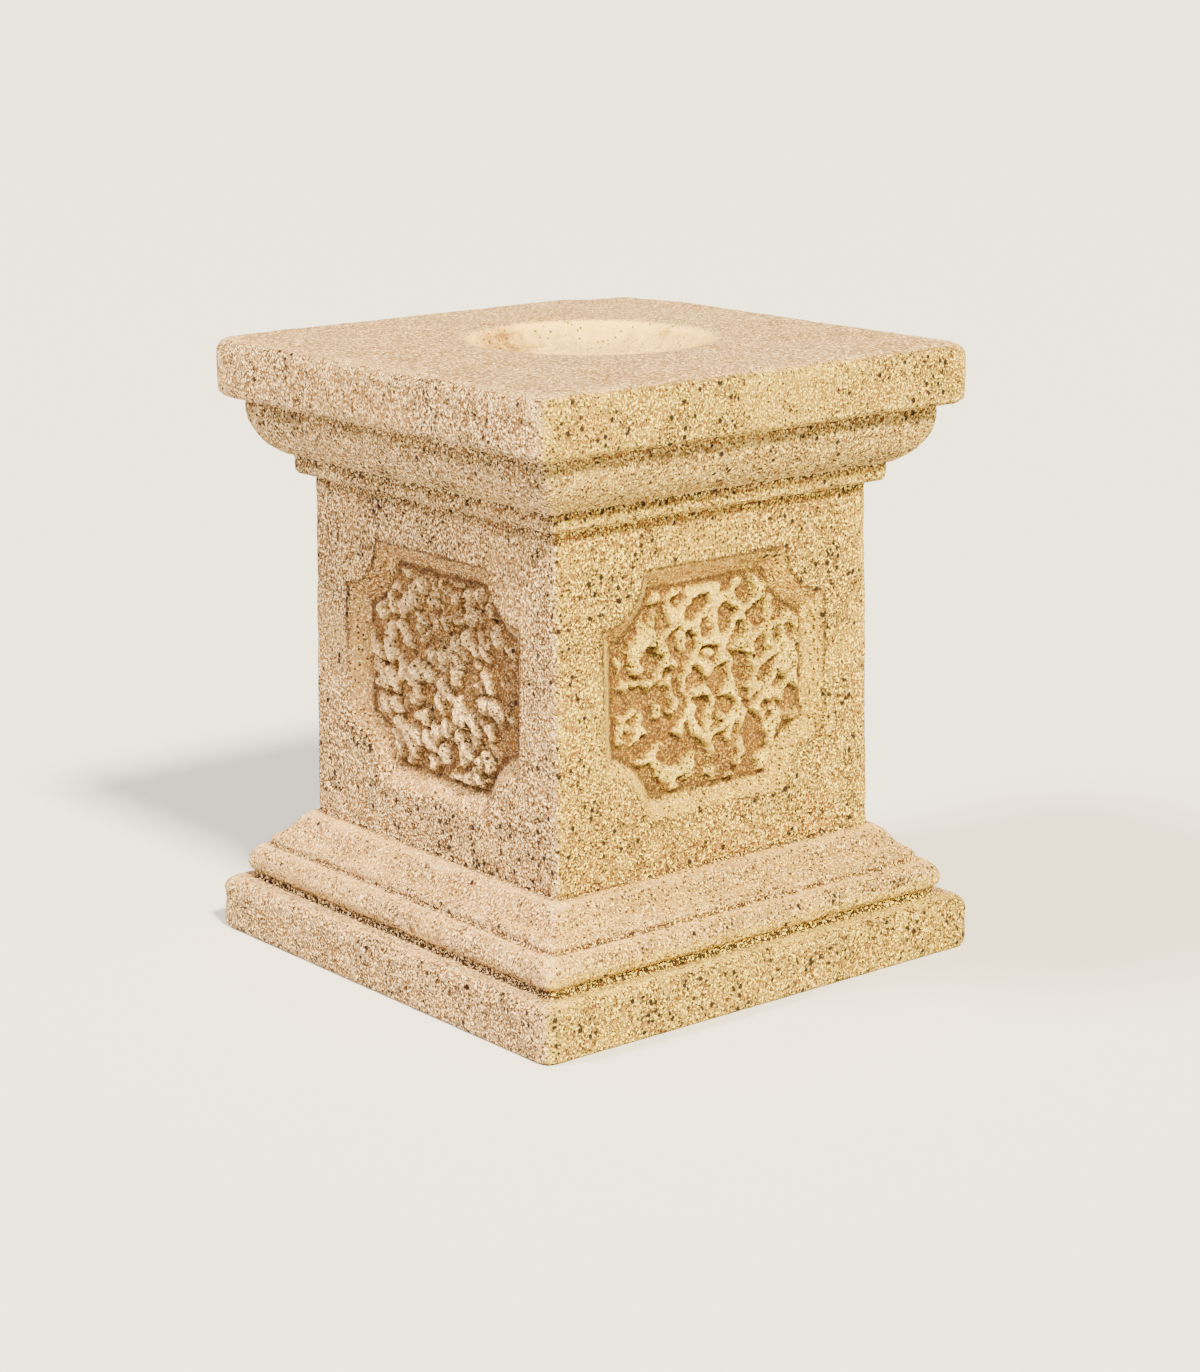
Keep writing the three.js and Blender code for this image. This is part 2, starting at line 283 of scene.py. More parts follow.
def lattice(cells, seed):
    """A number from 0 to 1 for each row of whole numbers."""
    mixed = np.full(len(cells), seed * CHANCE_SEED % WORD, np.uint32)
    for column in range(cells.shape[1]):
        mixed = mixed ^ cells[:, column].astype(np.uint32)
        mixed = mixed * np.uint32(CHANCE_FIRST)
        mixed = mixed ^ (mixed >> np.uint32(15))
        mixed = mixed * np.uint32(CHANCE_SECOND)
        mixed = mixed ^ (mixed >> np.uint32(13))
    return mixed.astype(np.float64) / (WORD - 1)


def noise(points, size, seed):
    """Smooth noise from -1 to 1 whose bumps are about the size given."""
    scaled = points / size
    cell = np.floor(scaled).astype(np.int64)
    share = scaled - cell
    share = share * share * (3 - 2 * share)
    total = np.zeros(len(points))
    for corner in range(8):
        step = np.array([corner & 1, corner >> 1 & 1, corner >> 2 & 1])
        weight = np.prod(np.where(step, share, 1 - share), axis=1)
        total += weight * lattice(cell + step, seed)
    return 2 * total - 1


def pits(points, spacing, radius, share, seed):
    """How deep each point lies in a scatter of round pits, from 0 to 1."""
    scaled = points / spacing
    cell = np.floor(scaled).astype(np.int64)
    deepest = np.zeros(len(points))
    for i in (-1, 0, 1):
        for j in (-1, 0, 1):
            for k in (-1, 0, 1):
                beside = cell + (i, j, k)
                middle = beside + np.stack([lattice(beside, seed + n) for n in range(3)], axis=1)
                size = radius * (0.5 + lattice(beside, seed + 3))
                there = lattice(beside, seed + 4) < share
                gap = np.linalg.norm((scaled - middle) * spacing, axis=1)
                depth = np.where(there, np.clip(1 - (gap / size) ** 2, 0, 1), 0)
                deepest = np.maximum(deepest, depth)
    return deepest


def near(points, middle, radius):
    """1 at the middle of a place, falling smoothly to 0 at its radius."""
    gap = np.linalg.norm(points - np.array(middle), axis=1) / radius
    return np.clip(1 - gap * gap, 0, 1) ** 2


# The rough field in the panels

def wave_value(i, j, seed):
    wave = np.sin(i * CHANCE_ACROSS + j * CHANCE_UP + seed * CHANCE_SIDE) * CHANCE_SPREAD
    return wave - np.floor(wave)


def wave_noise(u, v, seed):
    i = np.floor(u)
    j = np.floor(v)
    fu = smoothstep(u - i, 0, 1)
    fv = smoothstep(v - j, 0, 1)
    low = wave_value(i, j, seed) * (1 - fu) + wave_value(i + 1, j, seed) * fu
    high = wave_value(i, j + 1, seed) * (1 - fu) + wave_value(i + 1, j + 1, seed) * fu
    return low * (1 - fv) + high * fv


def inside_bed(across, up):
    """How far a point lies inside the foot of the panel's walls."""
    from_side = PANEL_HALF_WIDTH - np.abs(across)
    from_end = PANEL_HALF_HEIGHT - np.abs(up)
    from_lobe = np.hypot(from_side, from_end) - PANEL_LOBE_RADIUS
    return np.minimum(np.minimum(from_side, from_end), from_lobe) - PANEL_BEVEL


def chance_cells(u, v, seed):
    """How far each point lies from the edge of its chance cell, and a number for the cell."""
    cell_u = np.floor(u).astype(np.int64)
    cell_v = np.floor(v).astype(np.int64)
    far = 9.0
    first = np.full(len(u), far)
    second = np.full(len(u), far)
    number = np.zeros(len(u))
    for i in (-1, 0, 1):
        for j in (-1, 0, 1):
            cell = np.stack([cell_u + i, cell_v + j], axis=1)
            middle_u = cell[:, 0] + lattice(cell, seed)
            middle_v = cell[:, 1] + lattice(cell, seed + 1)
            gap = np.hypot(middle_u - u, middle_v - v)
            number = np.where(gap < first, lattice(cell, seed + 2), number)
            second = np.minimum(second, np.maximum(first, gap))
            first = np.minimum(first, gap)
    return (second - first) / 2, number


def lump_share(along, over, side):
    """The solid's own coarse lumps, from 0 to 1."""
    large = wave_noise(along / LUMP_LENGTH, over / LUMP_WIDTH, side)
    small = wave_noise(2 * along / LUMP_LENGTH, 2 * over / LUMP_WIDTH, side + 1)
    return smoothstep(LUMP_SHARE * large + (1 - LUMP_SHARE) * small, LUMP_FOOT, LUMP_CREST)


def bent(line, flat, reach, seed):
    """The places along a line, pushed to and fro by broad and close waves."""
    broad, close = reach
    return line + broad * noise(flat, BROAD_BEND, seed) + close * noise(flat, CLOSE_BEND, seed + 1)


def knob_field(edge, number, lump, flat):
    """Long knobs with narrow hollows between them."""
    tall = smoothstep(number, 0.06, 0.26)
    high = smoothstep(edge + 0.6 * noise(flat, 3.6, 25), 0.3, 1.9) * tall
    knob = KNOB_HEIGHT + KNOB_CHANCE_HEIGHT * number + lump + KNOB_RAGGED * noise(flat, RAGGED_SIZE, 26)
    return high * knob + 0.8 * lump, high


def ridge_field(edge, across, up, lump, flat):
    """A network of ridges round wider hollows, with round knobs, which crowd towards its upper right."""
    crowd = 0.25 * across / PANEL_HALF_WIDTH + 0.2 * up / PANEL_HALF_HEIGHT
    edge = edge + 0.9 * noise(flat, 4.5, 24)
    there = smoothstep(noise(flat, 9.0, 19) + crowd, -0.5, -0.1)
    knob = pits(flat, ROUND_KNOB_SPACING, ROUND_KNOB_RADIUS, ROUND_KNOB_SHARE, 23)
    knob = knob * smoothstep(crowd + noise(flat, 18.0, 22), -0.5, 0.3)
    high = np.maximum(smoothstep(edge, 2.5, 1.1) * there, smoothstep(knob, 0.2, 0.55))
    ridge = RIDGE_HEIGHT + 1.4 * lump + RIDGE_RAGGED * noise(flat, RAGGED_SIZE, 26)
    return high * ridge + 1.4 * lump + knob, high


def rough_field(across, up, side):
    """Height of a panel's rough field, and how far each point is up on a knob or a ridge.
    The panel on the picture's left is all knobs, and the one on its right is a network of ridges."""
    knobbed = side % 2 == 0
    lean = -LUMP_LEAN if knobbed else LUMP_LEAN
    along = across * math.cos(lean) + up * math.sin(lean)
    over = up * math.cos(lean) - across * math.sin(lean)
    lump = lump_share(along, over, side)
    flat = np.stack([along, over, np.full(len(along), SIDE_APART * side)], axis=1)
    length, width = KNOB_CELL if knobbed else RIDGE_CELL
    cell_along = bent(along, flat, BEND_ALONG, 13) / length
    cell_over = bent(over, flat, BEND_OVER, 15) / width
    edge, number = chance_cells(cell_along, cell_over, 17 + 5 * side)
    if knobbed:
        height, high = knob_field(edge * width, number, lump, flat)
    else:
        height, high = ridge_field(edge * width, across, up, lump, flat)
    crumb = 0.5 + 0.5 * noise(flat, CRUMB_SIZE, 21)
    return np.clip(height + CRUMB_HEIGHT * crumb - FIELD_SINK, 0, FIELD_HEIGHT), high


def to_panel(points, side):
    """Across, up and out from the middle of a side's panel."""
    turn = -side * math.pi / 2
    x = points[:, 0] * math.cos(turn) - points[:, 1] * math.sin(turn)
    y = points[:, 0] * math.sin(turn) + points[:, 1] * math.cos(turn) + PANEL_FACE
    z = points[:, 2] - PANEL_CENTRE
    up = y * math.sin(DIE_TAPER) + z * math.cos(DIE_TAPER)
    out = z * math.sin(DIE_TAPER) - y * math.cos(DIE_TAPER)
    return x, up, out


def from_panel(across, up, out, side):
    """The points that lie so far across, up and out from the middle of a side's panel."""
    y = up * math.sin(DIE_TAPER) - out * math.cos(DIE_TAPER) - PANEL_FACE
    z = up * math.cos(DIE_TAPER) + out * math.sin(DIE_TAPER) + PANEL_CENTRE
    turn = side * math.pi / 2
    x = across * math.cos(turn) - y * math.sin(turn)
    return np.stack([x, across * math.sin(turn) + y * math.cos(turn), z], axis=1)


def in_panel(points, side):
    """Which points lie in a side's panel, and where they are in it."""
    across, up, out = to_panel(points, side)
    inside = inside_bed(across, up)
    here = (inside > -PANEL_BEVEL) & (out > -PANEL_REACH) & (out < -PANEL_SKIN)
    return here, across[here], up[here], out[here], inside[here]


def roughen_panels(points):
    """Breaks the coarse lumps of each panel into knobs, ridges and hollows."""
    for side in range(SIDES):
        here, across, up, out, inside = in_panel(points, side)
        share = smoothstep(inside, -0.8, 1.0) * (out < -1)
        rough = rough_field(across, up, side)[0]
        rough *= np.clip(inside / EDGE_BAND, 0, 1)
        moved = out * (1 - share) + (rough - ROUGH_BED) * share
        points[here] = from_panel(across, up, moved, side)


def panel_shares(points):
    """Four shares of each point: 1 on a panel's rough bed, 1 on the smooth walls round it, 1 up on
    a knob or ridge, and 1 just below and to the left of one, where its shade is painted."""
    bed = np.zeros(len(points))
    wall = np.zeros(len(points))
    high = np.zeros(len(points))
    under = np.zeros(len(points))
    for side in range(SIDES):
        here, across, up, out, inside = in_panel(points, side)
        bed[here] = smoothstep(inside, -1.0, 1.5)
        wall[here] = (1 - bed[here]) * smoothstep(out, -1.2, -3)
        level = rough_field(across, up, side)[1]
        above = rough_field(across + SHADE_ACROSS, up + SHADE_UP, side)[1]
        high[here] = bed[here] * level * np.clip(inside / EDGE_BAND, 0, 1)
        # Painted shade on the bed just below and to the left of each knob and ridge
        under[here] = bed[here] * np.clip(1.8 * (above - level), 0, 1)
    return bed, wall, high, under


def about_panel_depth(out):
    return np.abs(out + PANEL_MIDDLE_DEPTH) < PANEL_DEPTH_EITHER_WAY


def panel_rim(points):
    """1 along the foot and the upper edge of the panels' walls, where lines of painted shade go, stronger
    on the upper wall, which faces down.
    """
    rim = np.zeros(len(points))
    for side in range(SIDES):
        across, up, out = to_panel(points, side)
        inside = inside_bed(across, up)
        beside = (np.abs(across) < PANEL_HALF_WIDTH + 8) & about_panel_depth(out)
        foot = np.exp(-((inside + 0.2) / FOOT_LINE) ** 2) * smoothstep(out, -6, -10)
        head = np.exp(-((inside + PANEL_BEVEL + 0.4) / HEAD_LINE) ** 2)
        head = head * (0.35 + 0.6 * smoothstep(up, -20, 20))
        rim = np.maximum(rim, np.where(beside, np.maximum(foot, head), 0))
    return rim


def seen_panels(points):
    """Whether a point lies on or beside one of the two panels that the picture shows."""
    seen = np.zeros(len(points), bool)
    for side in SEEN_SIDES:
        across, up, out = to_panel(points, side)
        seen |= (inside_bed(across, up) > -PANEL_BEVEL - 3) & about_panel_depth(out)
    return seen


# Mesh helpers

def read_points(mesh):
    flat = np.empty(len(mesh.vertices) * 3)
    mesh.vertices.foreach_get("co", flat)
    return flat.reshape(-1, 3) / MM


def write_points(mesh, points):
    mesh.vertices.foreach_set("co", (points * MM).ravel())
    mesh.update()


def read_normals(mesh):
    flat = np.empty(len(mesh.vertices) * 3, np.float32)
    mesh.vertex_normals.foreach_get("vector", flat)
    return flat.reshape(-1, 3).astype(float)


def neighbours(mesh):
    flat = np.empty(len(mesh.edges) * 2, np.int32)
    mesh.edges.foreach_get("vertices", flat)
    pairs = flat.reshape(-1, 2)
    return pairs[:, 0], pairs[:, 1]


def spread(values, pairs, rounds):
    """Values evened out between neighbouring points, a few rounds over."""
    first, second = pairs
    count = len(values)
    degree = np.bincount(first, minlength=count) + np.bincount(second, minlength=count)
    degree = np.maximum(degree, 1)
    shape = values.reshape(count, -1).copy()
    for _ in range(rounds):
        for column in range(shape.shape[1]):
            old = shape[:, column]
            drawn = np.bincount(first, old[second], count) + np.bincount(second, old[first], count)
            shape[:, column] = (old + drawn / degree) / 2
    return shape.reshape(values.shape)


def bulge(points, normals, pairs, rounds):
    """How far each point stands out of its surroundings, in millimetres."""
    even = spread(points, pairs, rounds)
    return np.einsum("ij,ij->i", points - even, normals)


def with_modifiers(obj):
    """The object's mesh with its modifiers worked in."""
    bpy.context.view_layer.update()
    graph = bpy.context.evaluated_depsgraph_get()
    mesh = bpy.data.meshes.new_from_object(obj.evaluated_get(graph))
    obj.modifiers.clear()
    old = obj.data
    obj.data = mesh
    bpy.data.meshes.remove(old)
    return mesh


# The stone

def merged_copy(node, name):
    shape = bmesh.new()
    shape.from_mesh(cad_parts[node].data)
    bmesh.ops.remove_doubles(shape, verts=shape.verts, dist=0.01 * MM)
    mesh = bpy.data.meshes.new(name)
    shape.to_mesh(mesh)
    shape.free()
    mesh.materials.clear()
    obj = bpy.data.objects.new(name, mesh)
    bpy.context.scene.collection.objects.link(obj)
    return obj


def recess_share(points):
    """1 inside the recess, 0 outside its rim."""
    radius = np.hypot(points[:, 0] - RECESS_MIDDLE[0], points[:, 1] - RECESS_MIDDLE[1])
    high_up = points[:, 2] > BLOCK_TOP - RECESS_DEEPEST
    return smoothstep(radius, RECESS_RIM + 3, RECESS_RIM - 3) * high_up


def coarseness(points, normals):
    """How rough the cast surface is: the top, the recess and the panel walls are the smoothest, and
    the plinth, the foot of the die and its front corner the roughest."""
    height = points[:, 2]
    level = smoothstep(normals[:, 2], 0.55, 0.9)
    base = smoothstep(height, PLINTH_TOP - 1, PLINTH_TOP + 3)
    base = base * smoothstep(height, DIE_FOOT + 2, DIE_FOOT - 1)
    bed, wall = panel_shares(points)[:2]
    value = (1 - TOP_SMOOTH * level) * (1 - RECESS_SMOOTH * recess_share(points))
    value = value * (1 - BASE_SMOOTH * base) * (1 - WALL_SMOOTH * wall) * (1 - BED_SMOOTH * bed)
    patch = 0.5 + 0.5 * noise(points, ROUGH_PATCH, 71)
    corner = np.hypot(points[:, 0] - FRONT_CORNER, points[:, 1] + FRONT_CORNER)
    by_corner = 0.9 * smoothstep(corner, 26, 8) * (height < DIE_HEAD)
    low = np.maximum(smoothstep(height, 160, 100), by_corner)
    return value * (ROUGH_LEAST + ROUGH_IN_PATCH * smoothstep(patch, 0.25, 0.75) + ROUGH_LOW_DOWN * low)


def weather(points, normals, pairs):
    """Moves the points inwards only, so that the stone stays within its true size."""
    foot = smoothstep(points[:, 2], 0.3, 3)
    hidden = (normals[:, 1] > 0.6) | (normals[:, 0] < -0.6)
    rough = coarseness(points, normals) * np.where(hidden, HIDDEN_WEAR, 1.0)
    arris = np.clip(bulge(points, normals, pairs, 12), 0, ARRIS_MOST)
    arris = arris * np.where(seen_panels(points), SEEN_PANEL_WEAR, 1.0)
    wave = 0.5 + 0.5 * noise(points, WAVE_SIZE, 41)
    nubs = 0.5 + 0.5 * noise(points, NUB_SIZE, 42)
    small = pits(points * (1, 1, PIT_STRETCH), *SMALL_PITS)
    large = pits(points, *LARGE_PITS)
    broken = smoothstep(noise(points, BREAK_SIZE, 44), -0.3, 0.8)
    depth = WAVE_DEPTH * wave + arris * (ARRIS_WORN + ARRIS_BROKEN * broken)
    depth += rough * (NUB_DEPTH * nubs + SMALL_PIT_DEPTH * small + LARGE_PIT_DEPTH * large)
    upright = 1 - smoothstep(np.abs(normals[:, 2]), 0.75, 0.95)
    for height, band, deep, _ in CREVICES:
        depth += deep * upright * np.exp(-((points[:, 2] - height) / band) ** 2)
    for middle, radius, deep, ragged in CHIPS:
        share = near(points, middle, radius)
        depth += deep * share * (1 - ragged * (0.5 + 0.5 * noise(points, CHIP_GRAIN, 45)))
    for middle, radius, deep in WORN:
        depth += deep * near(points, middle, radius) * (0.6 + 0.4 * broken)
    middle, radius, deep = SOFT_LOBE
    depth += deep * near(points, middle, radius) * smoothstep(noise(points, 9, 46), -0.5, 0.5)
    return points - normals * (depth * foot)[:, None]


def add_values(mesh, name, values):
    layer = mesh.attributes.new(name, "FLOAT", "POINT")
    layer.data.foreach_set("value", values.astype(np.float32))


def stain_map(points, normals, broad):
    """Where the ochre wash has gathered: under the mouldings, beside the front corner, in broad
    hollows, along the crevices and in old damage."""
    x, y, z = points.T
    side = 1 - smoothstep(normals[:, 2], 0.3, 0.8)
    under_neck = smoothstep(z, DIE_HEAD - 15, DIE_HEAD - 3) * (z < DIE_HEAD + 2)
    under_cap = smoothstep(z, CAP_FOOT - 7, CAP_FOOT - 1) * (z < CAP_FOOT + 1)
    over_neck = smoothstep(z, OVOLO_FOOT + 9, OVOLO_FOOT + 1) * (z > OVOLO_FOOT - 2)
    die_foot = smoothstep(z, DIE_FOOT + 34, DIE_FOOT + 6) * (z > DIE_FOOT)
    beside_corner = np.exp(-((y + 118) / 6) ** 2) * (x > 120)
    beside_corner = beside_corner * smoothstep(z, 100, 130) * smoothstep(z, 285, 240)
    stain = STAIN_UNDER_NECK * under_neck + STAIN_UNDER_CAP * under_cap
    stain = stain + STAIN_OVER_NECK * over_neck + STAIN_DIE_FOOT * die_foot
    stain = side * stain * (0.55 + 0.45 * noise(points, 22, 81))
    stain += STAIN_BESIDE_CORNER * beside_corner * (0.6 + 0.4 * noise(points, 14, 82))
    stain += STAIN_IN_HOLLOWS * smoothstep(-broad, 0.4, 2.2) * (1 - 0.4 * recess_share(points))
    for height, band, _, stained in CREVICES:
        stain += stained * side * np.exp(-((z - height) / (band + 1)) ** 2)
    for middle, radius, strength in STAINS:
        stain += strength * near(points, middle, radius * PLACE_SPREAD)
    return np.clip(stain, 0, 1)


def lit_side_tint_map(points):
    """1 on the side that faces the light, painted yellow as lit, and weaker on the mouldings, painted
    pinker as if shaded.
    """
    x, y, z = points.T
    base = smoothstep(z, PLINTH_TOP + 8, PLINTH_TOP + 16) * smoothstep(z, DIE_FOOT + 2, DIE_FOOT - 2)
    ovolo = smoothstep(z, OVOLO_FOOT - 2, OVOLO_FOOT + 2) * smoothstep(z, CAP_FOOT + 1, CAP_FOOT - 2)
    lit = smoothstep(x + y, -2, 2) * smoothstep(x - y, -2, 2)
    return lit * (1 - BASE_PINK * base) * (1 - OVOLO_PINK * ovolo)


def rub_map(points):
    """1 in the middle of the places that are rubbed nearly white."""
    rubbed = np.zeros(len(points))
    for middle, radius, strength in RUBBED:
        rubbed += strength * near(points, middle, radius * PLACE_SPREAD)
    return np.clip(rubbed, 0, 1)


def thin_out(obj, mesh, points):
    """Brings the mesh down to its number of triangles, and leaves the two seen panels as they are."""
    thin = obj.modifiers.new("thin", "DECIMATE")
    thin.ratio = min(1.0, TRIANGLES / sum(len(face.vertices) - 2 for face in mesh.polygons))
    plain = obj.vertex_groups.new(name="plain")
    plain.add(np.flatnonzero(~seen_panels(points)).tolist(), 1.0, "REPLACE")
    thin.vertex_group = "plain"
    mesh = with_modifiers(obj)
    obj.vertex_groups.clear()
    return mesh


def add_stone_values(mesh):
    """Gives each point the values that the material reads."""
    points = read_points(mesh)
    normals = read_normals(mesh)
    pairs = neighbours(mesh)
    even_normals = spread(normals, pairs, 6)
    fine = bulge(points, normals, pairs, 3)
    broad = bulge(points, normals, pairs, 40)
    bed, wall, high, under = panel_shares(points)
    basin = recess_share(points)
    level = smoothstep(even_normals[:, 2], 0.55, 0.9) * (points[:, 2] > BLOCK_TOP - 25)
    # Painted shade, in the stain's ochre, on the panels' walls that face down
    soffit_shade = SOFFIT_SHADE * wall * smoothstep(-even_normals[:, 2], 0.05, 0.4)
    add_values(mesh, "fine", fine * (1 - 0.5 * basin))
    add_values(mesh, "hollow", bed * smoothstep(high, 0.75, 0.3))
    add_values(mesh, "crest", bed * smoothstep(high, 0.45, 0.9))
    add_values(mesh, "under", under)
    # Lines of painted shade at the foot and upper edge of the panels' walls
    add_values(mesh, "rim", panel_rim(points))
    add_values(mesh, "level", level)
    # Painted light: the side that faces the light takes the lit, yellower copy of each colour
    add_values(mesh, "lit_side_tint", lit_side_tint_map(points) * (1 - level))
    add_values(mesh, "coarse", coarseness(points, even_normals))
    # The stain value also holds the painted shade on the panels' walls that face down
    add_values(mesh, "stain", np.maximum(stain_map(points, even_normals, broad), soffit_shade))
    add_values(mesh, "rubbed", rub_map(points))
    add_values(mesh, "basin", basin)


def make_stone():
    """The solid with an even mesh, roughened panels and a weathered skin."""
    obj = merged_copy("pedestal", "pedestal_stone")
    remesh = obj.modifiers.new("grain", "REMESH")
    remesh.mode = "VOXEL"
    remesh.voxel_size = GRAIN_STEP * MM
    mesh = with_modifiers(obj)
    points = read_points(mesh)
    roughen_panels(points)
    write_points(mesh, points)
    points = weather(points, read_normals(mesh), neighbours(mesh))
    points = np.clip(points, np.array(cad_low) / MM, np.array(cad_high) / MM)
    write_points(mesh, points)
    mesh = thin_out(obj, mesh, points)
    add_stone_values(mesh)
    mesh.shade_smooth()
    return obj


# The stone's colour and its finest grain

MATH = "ShaderNodeMath"
NOISE = "ShaderNodeTexNoise"
CELLS = "ShaderNodeTexVoronoi"
MIX = "ShaderNodeMix"
FIRST_COLOUR = 6
SECOND_COLOUR = 7
MIXED_COLOUR = 2

# A range node takes a value, the two numbers that it is read between, and the two that it becomes,
# which are 0 and 1 where none are given
RANGE = "ShaderNodeMapRange"

# Sizes of the grain in millimetres. The real grit is 0.5 to 1 mm across and its pits are 1 to 3 mm;
# a pixel of the picture is 0.7 mm, so the grit is drawn a little coarser to show at all. A pit's own
# radius lies between two shares of the radius given for its kind
GRIT = 1.35
TOP_GRIT = 1.9
CRUMB = 2.5
SMALLEST_PIT = 0.65
LARGEST_PIT = 1.3
PIT_SPACING = 1.95
PIT_RADIUS = 0.66
HOLE_SPACING = 4.6
HOLE_RADIUS = 1.25
SCAR_SPACING = 8.0
SCAR_RADIUS = 1.3
MOTTLE = 5.5
PATCH = 26.0
CLOUD = 40.0

# The grain is bent by waves of this size and reach in millimetres, and its pattern is read at this
# share of the height, which draws it out a little upright
WOBBLE = 1.8
BEND = 1.9
UPRIGHT = 0.85

# Heights of the finest relief in millimetres, stronger than the real ones so that they show
SWELL = 4.5
GRIT_RELIEF = 2.0
PIT_DEPTH = 2.1
HOLE_DEPTH = 3.6

# Painted shade in the sharp lines between the mouldings: level and half height in millimetres, and
# strength
SEAMS = [
    (37.4, 2.0, 1.0),
    (60.4, 0.9, 0.7),
    (84.0, 0.8, 0.5),
    (312.2, 1.2, 0.85),
    (324.6, 1.1, 0.8),
    (363.2, 1.3, 0.95),
]

# Strength of the wash in each kind of dent, of the bare stone and painted highlight on what stands proud,
# and of the scars' shade
GRIT_WASH = 0.85
CREASE_WASH = 0.8
HOLE_WASH = 0.8
PIT_WASH = 0.35
DENT_WASH = 0.7
CRUMB_RUB_AND_HIGHLIGHT = 0.95
PROUD_RUB_AND_HIGHLIGHT = 0.7
SCAR_SHADE = 0.65

# How far a point of the mesh sinks in or stands proud before it is washed, or rubbed and painted with
# highlight, and in full
SHALLOW = 0.12
FULL = 0.46

# Paints. A pair holds a shaded and a lit copy of one colour, for the side in shade and the side towards
# the light, in that order:
# the painted shade is pinkish and the painted light yellow. The pairs for the shaded ground and the bed
# are mottled instead
SHADE_GROUND = ("#c4924e", "#d4a664")
LIGHT_GROUND = "#deba44"
SMOOTH_GROUND = "#d0a45c"
TOP_GROUND = "#d4b07c"
BASIN_GROUND = "#ecc868"
WASH = ("#64401f", "#7a4c22")
STAIN = ("#7c4a20", "#a0602c")
STAINED_PIT = "#38200a"
SEAM_SHADE = "#2e1a0a"
BED = ("#6c4520", "#865a1e")
BED_GRAIN = "#40260c"
FOOT_SHADE = "#3e200a"
PALE_AND_HIGHLIGHT = ("#fddaa0", "#ffe064")
PIT_SHADE = ("#402610", "#4a3012")
HOLE_SHADE = ("#2c180a", "#30200a")

# Matt stone with very little shine
ROUGHNESS = 0.93
STONE_IOR = 1.5
SHEEN = 0.3

STONE_VALUES = [
    "fine", "hollow", "crest", "under", "rim", "level", "lit_side_tint", "coarse", "stain", "rubbed", "basin",
]


def srgb(code):
    """A hex colour as the linear values that a shader takes."""
    parts = [int(code[i:i + 2], 16) / 255 for i in (1, 3, 5)]
    linear = [p / 12.92 if p <= 0.04045 else ((p + 0.055) / 1.055) ** 2.4 for p in parts]
    return (*linear, 1.0)


def add_node(tree, kind, inputs=(), output=0, **settings):
    """Adds a node with its settings, sets or links its inputs, and gives back one of its outputs."""
    node = tree.nodes.new(kind)
    for name, value in settings.items():
        setattr(node, name, value)
    for socket, source in inputs.items() if isinstance(inputs, dict) else enumerate(inputs):
        if isinstance(source, bpy.types.NodeSocket):
            tree.links.new(source, node.inputs[socket])
        else:
            node.inputs[socket].default_value = source
    return node.outputs[output]


def paint_over(add, share, colour, paint):
    """The colour with a share of the paint laid over it."""
    inputs = {0: share, FIRST_COLOUR: colour, SECOND_COLOUR: paint}
    for socket in (FIRST_COLOUR, SECOND_COLOUR):
        if isinstance(inputs[socket], str):
            inputs[socket] = srgb(inputs[socket])
    return add(MIX, inputs, MIXED_COLOUR, data_type="RGBA")


def pit_pattern(add, place, spacing, radius, softness, share):
    """Round pits, at most one to a cell: how deep each point lies in one, and how near it is to one."""
    from_middle = add(CELLS, {"Vector": place, "Scale": 1 / (spacing * MM)}, "Distance")
    chance = add("ShaderNodeSeparateColor", [from_middle.node.outputs["Color"]], "Red")
    other_chance = chance.node.outputs["Green"]
    smallest = SMALLEST_PIT * radius / spacing
    largest = LARGEST_PIT * radius / spacing
    size = add(RANGE, [other_chance, 0.0, 1.0, smallest, largest])
    inside = add(MATH, [size, from_middle], operation="SUBTRACT")
    there = add(MATH, [chance, share], operation="LESS_THAN")
    edge = add(RANGE, [inside, -softness / spacing, softness / spacing])
    beside = add(RANGE, [inside, -2 * radius / spacing, 0.0])
    pit = add(MATH, [edge, there], operation="MULTIPLY")
    halo = add(MATH, [beside, there], operation="MULTIPLY")
    return pit, halo


